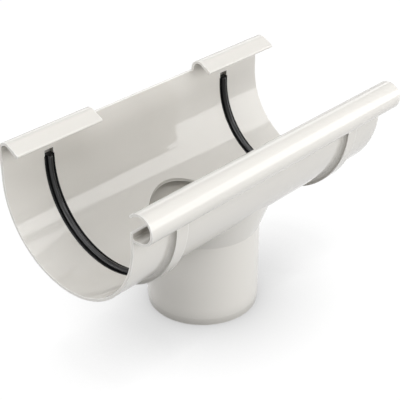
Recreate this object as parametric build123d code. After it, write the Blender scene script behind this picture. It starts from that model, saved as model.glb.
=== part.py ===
from build123d import *
import math
import os

os.makedirs("parts", exist_ok=True)

# Running outlet for a half round gutter, in millimetres.
# The origin lies on the spigot's axis, in the plane of its foot.
# X runs along the gutter, +Y points at the wall of the house and +Z is up.

# Trough
trough_length = 277.0
trough_radius = 66.1
trough_wall = 2.2
back_height = 23.4
front_height = 10.9

# Front bead, an open tube whose slot faces the inside of the trough
bead_radius = 11.3
bead_wall = 1.8
bead_overhang = 6.3
bead_height = 16.0
bead_lip_angle = 41.0
bead_corner = 1.2

# Clips that hook over the back edge of the gutter
clip_length = 79.4
clip_height = 24.4
clip_wall = 2.2
clip_bend_radius = 7.8
clip_turn = 119.5
clip_flange = 9.2
clip_lip_radius = 1.5

# Grooves that hold the seals, with a rib round the outside of each
groove_from_end = 42.1
groove_width = 8.4
groove_depth = 4.2
groove_floor = 2.0
groove_side = 1.35
groove_end_wall = 1.6
rib_fillet = 2.4
rib_back_height = 11.5

# Rubber seals
seal_clearance = 0.1
seal_proud = 1.9
seal_ridge_height = 2.0
seal_ridge_taper = 1.3
seal_back_gap = 5.3

# Spigot that goes into the downpipe, and the flare that joins it to the trough
spigot_radius = 45.0
spigot_wall = 2.2
spigot_length = 71.1
spigot_chamfer_height = 6.1
spigot_chamfer_depth = 0.6
trough_lift = 0.3
flare_height = 36.0
flare_long_angle = 30.0
flare_cross_angle = 18.0
hole_ledge = 0.8

# Worked out from the sizes above
axis_z = spigot_length + trough_lift + trough_radius
half_length = trough_length / 2
inner_radius = trough_radius - trough_wall
bead_underside = bead_height - bead_radius
groove_position = half_length - groove_from_end
floor_radius = inner_radius + groove_depth
rib_radius = floor_radius + groove_floor
rib_width = groove_width + 2 * groove_side
spigot_bore = spigot_radius - spigot_wall
hole_radius = spigot_bore - hole_ledge
trough_axis = Axis((0, 0, axis_z), (1, 0, 0))


def polar(centre, radius, angle):
    """Point at a distance from a centre, in the direction of an angle in degrees."""
    turn = math.radians(angle)
    return (centre[0] + radius * math.cos(turn), centre[1] + radius * math.sin(turn))


def along_trough(section, back_top, front_top):
    """Carries a section round the half round and up both walls to heights over the axis.

    The section's x runs along the trough and its y is the distance from the axis.
    """
    at_back = Plane(origin=(0, 0, axis_z), x_dir=(1, 0, 0), z_dir=(0, 0, 1))
    at_front = Plane(origin=(0, 0, axis_z), x_dir=(1, 0, 0), z_dir=(0, 0, -1))
    bottom = revolve(at_back * section, trough_axis, -180)
    back = extrude(at_back * section, back_top)
    front = extrude(at_front * section, -front_top)
    return bottom + back + front


def spread(section, length, middle):
    """Extrudes a YZ section along X, centred on a position."""
    return extrude(Plane.YZ.offset(middle) * section, length / 2, both=True)


def band(position, width, inside, outside):
    """Rectangle of a section, between two distances from the trough's axis."""
    middle = (inside + outside) / 2
    return Pos(position, middle) * Rectangle(width, outside - inside)


def ring_sector(centre, outside, inside, start, sweep):
    """Flat band between two radii, over part of a turn."""
    outer = CenterArc(centre, outside, start, sweep)
    inner = CenterArc(centre, inside, start, sweep)
    sides = [Line(outer @ 0, inner @ 0), Line(outer @ 1, inner @ 1)]
    return make_face(Curve() + [outer, inner] + sides)


def strip(first, second, thickness):
    """Straight band on the left of the line from first to second."""
    run = Vector(second) - Vector(first)
    across = Vector(-run.Y, run.X).normalized() * thickness
    corners = [Vector(first), Vector(second), Vector(second) + across, Vector(first) + across]
    return make_face(Polyline(*corners, close=True))


def rib_section(position):
    """Rib round the outside of a groove, with a concave foot on each side."""
    half = rib_width / 2
    toe = half + rib_fillet
    foot_top = trough_radius + rib_fillet
    low = trough_radius - trough_wall / 2
    right = [
        Line((toe, low), (toe, trough_radius)),
        CenterArc((toe, foot_top), rib_fillet, 270, -90),
        Line((half, foot_top), (half, rib_radius)),
    ]
    left = [mirror(edge, Plane.YZ) for edge in right]
    cap = Line((-half, rib_radius), (half, rib_radius))
    base = Line((-toe, low), (toe, low))
    return Pos(position, 0) * make_face(Curve() + right + left + [cap, base])


def seal_section(position):
    """Strip that fills the groove, with two tapered ridges side by side on the gutter's side."""
    half = groove_width / 2 - seal_clearance
    crest = inner_radius - seal_proud
    ridge_foot = crest + seal_ridge_height
    section = band(0, 2 * half, ridge_foot, floor_radius - seal_clearance)
    for side in (-1, 1):
        outer = side * half
        taper = side * seal_ridge_taper
        flanks = [(0, ridge_foot), (taper, crest), (outer - taper, crest), (outer, ridge_foot)]
        section += make_face(Polyline(*flanks, close=True))
    return Pos(position, 0) * section


def trough():
    """The half round with its two walls."""
    wall = band(0, trough_length, inner_radius, trough_radius)
    return along_trough(wall, back_height, front_height)


def bead():
    """Open tube along the front wall, whose channel has a rounded corner at the wall's foot."""
    centre = (-trough_radius - bead_overhang, axis_z + bead_height)
    low = axis_z + bead_underside
    channel = low + bead_wall
    tube = ring_sector(centre, bead_radius, bead_radius - bead_wall, bead_lip_angle, 270 - bead_lip_angle)
    tip = Pos(*polar(centre, bead_radius - bead_wall / 2, bead_lip_angle)) * Circle(bead_wall / 2)
    web = strip((centre[0], low), (-trough_radius + trough_wall / 2, low), bead_wall)
    corner = make_face(Curve() + [
        Line((-trough_radius, channel + bead_corner), (-trough_radius, channel)),
        Line((-trough_radius, channel), (-trough_radius - bead_corner, channel)),
        CenterArc((-trough_radius - bead_corner, channel + bead_corner), bead_corner, 270, 90),
    ])
    return spread(tube + tip + web + corner, trough_length, 0)


def clip(side):
    """Wall extension that bends over into a sloping flange with a thicker, rounded lip."""
    crown = (trough_radius - clip_bend_radius, axis_z + clip_height)
    bend_inside = clip_bend_radius - clip_wall
    wall = strip((trough_radius, axis_z), (trough_radius, crown[1]), clip_wall)
    bend = ring_sector(crown, clip_bend_radius, bend_inside, 0, clip_turn)
    under_lip = polar(crown, clip_bend_radius - clip_lip_radius, clip_turn)
    lip_centre = polar(under_lip, clip_flange, clip_turn + 90)
    flange = make_face(Polyline(
        polar(crown, clip_bend_radius, clip_turn),
        polar(lip_centre, clip_lip_radius, clip_turn),
        polar(lip_centre, clip_lip_radius, clip_turn + 180),
        polar(crown, bend_inside, clip_turn),
        close=True,
    ))
    lip = Pos(*lip_centre) * Circle(clip_lip_radius)
    middle = side * (half_length - clip_length / 2)
    return spread(wall + bend + flange + lip, clip_length, middle)


def flare(radius):
    """Solid cone from the spigot's circle to an ellipse that is longer along the trough."""
    grow_long = flare_height * math.tan(math.radians(flare_long_angle))
    grow_cross = flare_height * math.tan(math.radians(flare_cross_angle))
    shoulder = Plane.XY.offset(spigot_length) * Circle(radius)
    top = Plane.XY.offset(spigot_length + flare_height) * Ellipse(radius + grow_long, radius + grow_cross)
    return loft([shoulder, top])


def stem():
    """Hollow spigot with its flare, up to the outside of the trough."""
    foot = Cone(
        spigot_radius - spigot_chamfer_depth,
        spigot_radius,
        spigot_chamfer_height,
        align=(Align.CENTER, Align.CENTER, Align.MIN),
    )
    straight = extrude(
        Plane.XY.offset(spigot_chamfer_height) * Circle(spigot_radius),
        spigot_length - spigot_chamfer_height,
    )
    bore = extrude(Plane.XY * Circle(spigot_bore), spigot_length)
    trough_core = spread(Pos(0, axis_z) * Circle(trough_radius - trough_wall / 2), trough_length, 0)
    return foot + straight + flare(spigot_radius) - bore - flare(spigot_bore) - trough_core


def outlet_body():
    rib_front_height = bead_underside + bead_wall / 2
    body = trough()
    for side in (-1, 1):
        body += along_trough(rib_section(side * groove_position), rib_back_height, rib_front_height)
    body += bead()
    body += clip(-1)
    body += clip(1)
    body += stem()
    for side in (-1, 1):
        pocket = band(side * groove_position, groove_width, inner_radius - trough_wall, floor_radius)
        body -= along_trough(pocket, rib_back_height - groove_end_wall, bead_underside)
    opening = Plane.XY.offset(spigot_length / 2) * Circle(hole_radius)
    body -= extrude(opening, axis_z - spigot_length / 2)
    return body


def seal(side):
    back_top = rib_back_height - groove_end_wall - seal_back_gap
    front_top = bead_underside - seal_clearance
    return along_trough(seal_section(side * groove_position), back_top, front_top)


def save(shape, name):
    shape.label = name
    export_step(shape, "parts/" + name + ".step")


save(outlet_body(), "outlet_body")
save(seal(-1), "seal_left")
save(seal(1), "seal_right")
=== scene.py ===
import math
import bpy
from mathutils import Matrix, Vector


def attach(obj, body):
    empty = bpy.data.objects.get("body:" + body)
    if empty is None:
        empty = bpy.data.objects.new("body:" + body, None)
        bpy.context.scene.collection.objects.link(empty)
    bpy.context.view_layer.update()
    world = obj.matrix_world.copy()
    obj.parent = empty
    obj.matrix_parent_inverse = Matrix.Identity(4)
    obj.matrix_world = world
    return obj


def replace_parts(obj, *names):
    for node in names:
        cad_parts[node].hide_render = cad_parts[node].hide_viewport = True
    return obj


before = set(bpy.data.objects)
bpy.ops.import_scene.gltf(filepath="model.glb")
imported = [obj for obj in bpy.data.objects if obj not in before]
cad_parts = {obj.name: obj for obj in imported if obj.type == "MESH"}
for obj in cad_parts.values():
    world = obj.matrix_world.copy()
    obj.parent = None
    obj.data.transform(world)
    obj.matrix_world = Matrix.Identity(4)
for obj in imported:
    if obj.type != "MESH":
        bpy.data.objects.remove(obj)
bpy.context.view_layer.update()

# Lengths are in metres and angles in degrees. Only the lens and its sensor are in millimetres.
# An azimuth turns about +Z from -Y, and is positive towards +X.

# Camera
CAMERA_TARGET = Vector((0.0079, 0.0100, 0.0807))
CAMERA_AZIMUTH = -47.64
CAMERA_ELEVATION = 30.08
CAMERA_DISTANCE = 0.8266
CAMERA_LENS = 93.7
CAMERA_SENSOR = 36.0
CAMERA_NEAREST = 0.01
CAMERA_FURTHEST = 20.0

# Softboxes: name, turn to the camera's right, elevation, distance, width, height, radiance.
SOFTBOXES = [
    ("right_low", 80, 8, 2.2, 2.0, 0.6, 2.8),
    ("front_right_low", 35, 8, 2.2, 1.6, 0.6, 4.2),
    ("left_low", -60, 8, 2.2, 2.0, 0.6, 3.5),
    ("back_left_low", -120, 8, 2.2, 2.0, 0.6, 4.0),
    ("right_key", 80, 27, 2.2, 2.0, 0.9, 2.6),
    ("front_right", 30, 27, 2.2, 1.4, 0.9, 1.3),
    ("behind", 180, 30, 2.2, 1.3, 0.6, 1.5),
    ("left_front", -45, 40, 2.2, 1.6, 0.8, 1.5),
    ("left_high", -110, 61, 2.2, 1.4, 0.9, 1.7),
    ("right_top", 70, 60, 2.2, 1.4, 0.9, 2.0),
    ("front_top", -20, 62, 2.2, 1.4, 0.9, 1.3),
    ("overhead", 0, 88, 2.0, 1.6, 1.6, 1.1),
]

# World: the level that lights the object, and the level that the camera and reflections see.
WORLD_LEVEL = 0.03
BACKDROP_LEVEL = 1.0

# Floor as the camera and reflections see it: its colour, and a glow that weakens where the object
# stands close, which is a painted shadow. Other light meets the bounce colour.
FLOOR_HALF_SIZE = 6.0
FLOOR_TONE = 0.06
FLOOR_GLOW = 0.97
FLOOR_SHADE_REACH = 0.078
FLOOR_SHADE_LEAST = 0.22
FLOOR_SHADE_SAMPLES = 16
FLOOR_BOUNCE = 0.25

# Colours, as linear red, green and blue
PLASTIC_DARKER = (0.755, 0.733, 0.688)
PLASTIC_LIGHTER = (0.778, 0.757, 0.716)
# Painted shade for the corners, narrow channels and the hole
PLASTIC_PAINTED_SHADE = (0.30, 0.285, 0.26)
# Painted highlight for the outer edges
PLASTIC_PAINTED_HIGHLIGHT = (0.95, 0.935, 0.905)
RUBBER_BLACK = (0.011, 0.011, 0.0115)
RUBBER_BLOOM = (0.018, 0.018, 0.019)

# Noise lies mostly between these two values.
NOISE_LOW = 0.3
NOISE_HIGH = 0.7

# Rays for each Bevel and Ambient Occlusion node in a material
MATERIAL_SAMPLES = 6

# Seals. The trough's axis lies along X at height AXIS_Z, and the seals at x = SEAL_MIDDLE
# and x = -SEAL_MIDDLE.
AXIS_Z = 0.1375
TROUGH_INSIDE = 0.0639
SEAL_MIDDLE = 0.0964
SEAL_HALF_STEM = 0.0041
SEAL_STEM_DEPTH = 0.0040
SEAL_HALF_RIDGE = 0.0023
SEAL_CREST = 0.0028
SEAL_CHANNEL_DEPTH = 0.0012
SEAL_LIP_MIDDLE = 0.0044
SEAL_LIP_RADIUS = 0.0004
SEAL_LIP_CLEARANCE = 0.00003
SEAL_BACK_TOP = 0.0053
SEAL_FRONT_TOP = 0.0045
SEAL_END_ROUND = 0.0009
SEAL_END_ANGLES = (8, 25, 45, 65, 90)
SEAL_LIP_STEP = 30
SEAL_RIDGE_STEPS = 40
SEAL_BEND_STEPS = 120
SEAL_SHARP_ANGLE = 45


def direction(azimuth, elevation):
    """Unit vector that points away from the object."""
    turn = math.radians(azimuth)
    rise = math.radians(elevation)
    return Vector((
        math.sin(turn) * math.cos(rise),
        -math.cos(turn) * math.cos(rise),
        math.sin(rise),
    ))


def put(name, data, location, away):
    """Adds a camera or lamp that looks back along a direction."""
    thing = bpy.data.objects.new(name, data)
    thing.location = location
    thing.rotation_euler = (-away).to_track_quat("-Z", "Y").to_euler()
    bpy.context.scene.collection.objects.link(thing)
    return thing


def add_camera():
    away = direction(CAMERA_AZIMUTH, CAMERA_ELEVATION)
    data = bpy.data.cameras.new("camera")
    data.lens = CAMERA_LENS
    data.sensor_width = CAMERA_SENSOR
    data.clip_start = CAMERA_NEAREST
    data.clip_end = CAMERA_FURTHEST
    camera = put("camera", data, CAMERA_TARGET + away * CAMERA_DISTANCE, away)
    bpy.context.scene.camera = camera


def add_softbox(name, turn, elevation, distance, width, height, radiance):
    away = direction(CAMERA_AZIMUTH + turn, elevation)
    data = bpy.data.lights.new(name, "AREA")
    data.shape = "RECTANGLE"
    data.size = width
    data.size_y = height
    data.energy = radiance * math.pi * width * height
    put(name, data, away * distance, away)


def new_material(name):
    material = bpy.data.materials.new(name)
    material.use_nodes = True
    tree = material.node_tree
    tree.nodes.clear()
    return material, tree


def add_noise(tree, coordinates, scale, detail, stretch=(1, 1, 1)):
    """Noise in object space, in features per metre, drawn out along an axis by a small stretch."""
    place = tree.nodes.new("ShaderNodeMapping")
    place.inputs["Scale"].default_value = stretch
    noise = tree.nodes.new("ShaderNodeTexNoise")
    noise.inputs["Scale"].default_value = scale
    noise.inputs["Detail"].default_value = detail
    tree.links.new(coordinates.outputs["Object"], place.inputs["Vector"])
    tree.links.new(place.outputs["Vector"], noise.inputs["Vector"])
    return noise.outputs["Fac"]


def add_roughness(tree, noise, low, high):
    node = tree.nodes.new("ShaderNodeMapRange")
    node.inputs["From Min"].default_value = NOISE_LOW
    node.inputs["From Max"].default_value = NOISE_HIGH
    node.inputs["To Min"].default_value = low
    node.inputs["To Max"].default_value = high
    tree.links.new(noise, node.inputs["Value"])
    return node.outputs["Result"]


def add_colour(tree, noise, first, second):
    node = tree.nodes.new("ShaderNodeMix")
    node.data_type = "RGBA"
    node.inputs["A"].default_value = (*first, 1)
    node.inputs["B"].default_value = (*second, 1)
    tree.links.new(noise, node.inputs["Factor"])
    return node.outputs["Result"]


def add_nearness(tree, colour, other, reach, start, full, inside=False):
    """Blends towards another colour where surfaces are near, outside the wall or inside it.

    The blend starts at one Ambient Occlusion value and is full at another.
    """
    near = tree.nodes.new("ShaderNodeAmbientOcclusion")
    near.inside = inside
    near.samples = MATERIAL_SAMPLES
    near.inputs["Distance"].default_value = reach
    amount = tree.nodes.new("ShaderNodeMapRange")
    amount.inputs["From Min"].default_value = start
    amount.inputs["From Max"].default_value = full
    mix = tree.nodes.new("ShaderNodeMix")
    mix.data_type = "RGBA"
    mix.inputs["B"].default_value = (*other, 1)
    tree.links.new(near.outputs["AO"], amount.inputs["Value"])
    tree.links.new(amount.outputs["Result"], mix.inputs["Factor"])
    tree.links.new(colour, mix.inputs["A"])
    return mix.outputs["Result"]


def add_soft_edges(tree, radius):
    bevel = tree.nodes.new("ShaderNodeBevel")
    bevel.samples = MATERIAL_SAMPLES
    bevel.inputs["Radius"].default_value = radius
    return bevel.outputs["Normal"]


def add_bump(tree, height, normal, strength, depth):
    bump = tree.nodes.new("ShaderNodeBump")
    bump.inputs["Strength"].default_value = strength
    bump.inputs["Distance"].default_value = depth
    tree.links.new(height, bump.inputs["Height"])
    tree.links.new(normal, bump.inputs["Normal"])
    return bump.outputs["Normal"]


def add_surface(tree, colour, roughness, normal, ior):
    out = tree.nodes.new("ShaderNodeOutputMaterial")
    shader = tree.nodes.new("ShaderNodeBsdfPrincipled")
    shader.inputs["IOR"].default_value = ior
    tree.links.new(colour, shader.inputs["Base Color"])
    tree.links.new(roughness, shader.inputs["Roughness"])
    tree.links.new(normal, shader.inputs["Normal"])
    tree.links.new(shader.outputs["BSDF"], out.inputs["Surface"])


def plastic_material():
    """Glossy off-white moulded plastic, with a faint ripple and slight changes of tone.

    Painted shade darkens the corners and narrow channels, and painted highlights lighten the outer
    edges.
    """
    material, tree = new_material("white_plastic")
    coordinates = tree.nodes.new("ShaderNodeTexCoord")
    tone = add_noise(tree, coordinates, scale=14, detail=3)
    flow = add_noise(tree, coordinates, scale=90, detail=4, stretch=(0.12, 1, 1))
    ripple = add_noise(tree, coordinates, scale=240, detail=2)
    grain = add_noise(tree, coordinates, scale=1800, detail=2)
    colour = add_colour(tree, tone, PLASTIC_DARKER, PLASTIC_LIGHTER)
    # Painted shade: darker where surfaces come near, in corners, channels and the hole
    colour = add_nearness(tree, colour, PLASTIC_PAINTED_SHADE, reach=0.016, start=0.9, full=0.1)
    # Painted highlight: lighter along the outer edges and thin rims
    colour = add_nearness(
        tree, colour, PLASTIC_PAINTED_HIGHLIGHT, reach=0.0009, start=1.0, full=0.5, inside=True)
    roughness = add_roughness(tree, flow, low=0.05, high=0.08)
    normal = add_soft_edges(tree, radius=0.0005)
    normal = add_bump(tree, ripple, normal, strength=0.25, depth=0.00004)
    normal = add_bump(tree, grain, normal, strength=0.15, depth=0.00001)
    add_surface(tree, colour, roughness, normal, ior=1.5)
    return material


def rubber_material():
    """Black rubber with a fine grain and a slightly greyer bloom in places."""
    material, tree = new_material("black_rubber")
    coordinates = tree.nodes.new("ShaderNodeTexCoord")
    bloom = add_noise(tree, coordinates, scale=60, detail=4)
    grain = add_noise(tree, coordinates, scale=2600, detail=3)
    colour = add_colour(tree, bloom, RUBBER_BLACK, RUBBER_BLOOM)
    roughness = add_roughness(tree, bloom, low=0.15, high=0.23)
    normal = add_soft_edges(tree, radius=0.0002)
    normal = add_bump(tree, grain, normal, strength=0.3, depth=0.00003)
    add_surface(tree, colour, roughness, normal, ior=1.47)
    return material


def seal_profile(fullness):
    """Round ridge between two channels with a lip at each side, and the stem in the groove.

    Each point is an offset along X and a distance from the trough's axis. A fullness
    below 1 lowers the ridge and the lips, for the rounded end.
    """
    foot = TROUGH_INSIDE - SEAL_LIP_CLEARANCE
    channel = TROUGH_INSIDE + SEAL_CHANNEL_DEPTH
    rise = (SEAL_CREST + SEAL_CHANNEL_DEPTH) * fullness
    side = [(SEAL_HALF_STEM, TROUGH_INSIDE + SEAL_STEM_DEPTH), (SEAL_HALF_STEM, foot)]
    for angle in range(0, 181, SEAL_LIP_STEP):
        turn = math.radians(angle)
        side.append((
            SEAL_LIP_MIDDLE + SEAL_LIP_RADIUS * math.cos(turn),
            foot - SEAL_LIP_RADIUS * math.sin(turn) * fullness,
        ))
    side.append((SEAL_LIP_MIDDLE - SEAL_LIP_RADIUS, channel))
    points = [(-offset, radius) for offset, radius in side]
    for i in range(SEAL_RIDGE_STEPS + 1):
        turn = math.pi * i / SEAL_RIDGE_STEPS
        points.append((-SEAL_HALF_RIDGE * math.cos(turn), channel - rise * math.sin(turn)))
    return points + side[::-1]


def seal_stations():
    """Places along a seal, from its rounded end on the back wall to its end on the front wall.

    Each has a turn about the trough's axis, a height over it and the profile's fullness.
    """
    stations = []
    for angle in SEAL_END_ANGLES:
        part = 1 - math.cos(math.radians(angle))
        height = SEAL_BACK_TOP - SEAL_END_ROUND * part
        stations.append((0.0, height, math.sqrt(1 - (1 - part) ** 2)))
    stations.append((0.0, SEAL_BACK_TOP / 2, 1))
    for i in range(SEAL_BEND_STEPS + 1):
        stations.append((-math.pi * i / SEAL_BEND_STEPS, 0.0, 1))
    stations.append((-math.pi, SEAL_FRONT_TOP, 1))
    return stations


def add_seal(name, middle, material):
    vertices, faces = [], []
    stations = seal_stations()
    for turn, height, fullness in stations:
        for offset, radius in seal_profile(fullness):
            y = radius * math.cos(turn)
            z = AXIS_Z + radius * math.sin(turn) + height
            vertices.append((middle + offset, y, z))
    ring = len(seal_profile(1))
    last = (len(stations) - 1) * ring
    for here in range(0, last, ring):
        after = here + ring
        for j in range(ring):
            k = (j + 1) % ring
            faces.append((here + j, here + k, after + k, after + j))
    faces.append(tuple(range(ring)))
    faces.append(tuple(last + j for j in reversed(range(ring))))
    mesh = bpy.data.meshes.new(name)
    mesh.from_pydata(vertices, [], faces)
    mesh.materials.append(material)
    piece = bpy.data.objects.new(name, mesh)
    bpy.context.scene.collection.objects.link(piece)
    for polygon in mesh.polygons:
        polygon.use_smooth = len(polygon.vertices) == 4
    mesh.set_sharp_from_angle(angle=math.radians(SEAL_SHARP_ANGLE))
    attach(piece, "root")
    return piece


def add_seen(tree):
    """1 for the rays of the camera and of reflections, and 0 for all others."""
    path = tree.nodes.new("ShaderNodeLightPath")
    either = tree.nodes.new("ShaderNodeMath")
    either.operation = "MAXIMUM"
    tree.links.new(path.outputs["Is Camera Ray"], either.inputs[0])
    tree.links.new(path.outputs["Is Glossy Ray"], either.inputs[1])
    return either.outputs["Value"]


def add_diffuse(tree, grey):
    diffuse = tree.nodes.new("ShaderNodeBsdfDiffuse")
    diffuse.inputs["Color"].default_value = (grey, grey, grey, 1)
    return diffuse.outputs["BSDF"]


def floor_material():
    """White floor that joins the backdrop and keeps the object's shade, mostly as a painted
    shadow.
    """
    material, tree = new_material("floor_white")
    nodes, links = tree.nodes, tree.links
    out = nodes.new("ShaderNodeOutputMaterial")
    # Painted shadow: the glow dims where the object stands close over the floor
    near = nodes.new("ShaderNodeAmbientOcclusion")
    near.samples = FLOOR_SHADE_SAMPLES
    near.inputs["Distance"].default_value = FLOOR_SHADE_REACH
    shade = nodes.new("ShaderNodeMapRange")
    shade.inputs["To Min"].default_value = FLOOR_SHADE_LEAST
    glow = nodes.new("ShaderNodeEmission")
    glow.inputs["Strength"].default_value = FLOOR_GLOW
    both = nodes.new("ShaderNodeAddShader")
    mix = nodes.new("ShaderNodeMixShader")
    links.new(near.outputs["AO"], shade.inputs["Value"])
    links.new(shade.outputs["Result"], glow.inputs["Color"])
    links.new(add_diffuse(tree, FLOOR_TONE), both.inputs[0])
    links.new(glow.outputs["Emission"], both.inputs[1])
    links.new(add_seen(tree), mix.inputs["Fac"])
    links.new(add_diffuse(tree, FLOOR_BOUNCE), mix.inputs[1])
    links.new(both.outputs["Shader"], mix.inputs[2])
    links.new(mix.outputs["Shader"], out.inputs["Surface"])
    return material


def add_floor():
    far = FLOOR_HALF_SIZE
    corners = [(-far, -far, 0), (far, -far, 0), (far, far, 0), (-far, far, 0)]
    mesh = bpy.data.meshes.new("floor")
    mesh.from_pydata(corners, [], [(0, 1, 2, 3)])
    mesh.materials.append(floor_material())
    floor = bpy.data.objects.new("floor", mesh)
    bpy.context.scene.collection.objects.link(floor)


def add_world():
    """Dim studio all round, which the camera and reflections see as a white backdrop."""
    world = bpy.data.worlds.new("studio")
    world.use_nodes = True
    tree = world.node_tree
    background = tree.nodes["Background"]
    background.inputs["Color"].default_value = (1, 1, 1, 1)
    level = tree.nodes.new("ShaderNodeMapRange")
    level.inputs["To Min"].default_value = WORLD_LEVEL
    level.inputs["To Max"].default_value = BACKDROP_LEVEL
    tree.links.new(add_seen(tree), level.inputs["Value"])
    tree.links.new(level.outputs["Result"], background.inputs["Strength"])
    bpy.context.scene.world = world


add_camera()
add_world()
add_floor()
for softbox in SOFTBOXES:
    add_softbox(*softbox)

plastic = plastic_material()
rubber = rubber_material()
for name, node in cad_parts.items():
    node.data.materials.clear()
    node.data.materials.append(rubber if name.startswith("seal") else plastic)
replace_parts(add_seal("seal_left_rubber", -SEAL_MIDDLE, rubber), "seal_left")
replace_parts(add_seal("seal_right_rubber", SEAL_MIDDLE, rubber), "seal_right")

bpy.context.scene.view_settings.view_transform = "Standard"
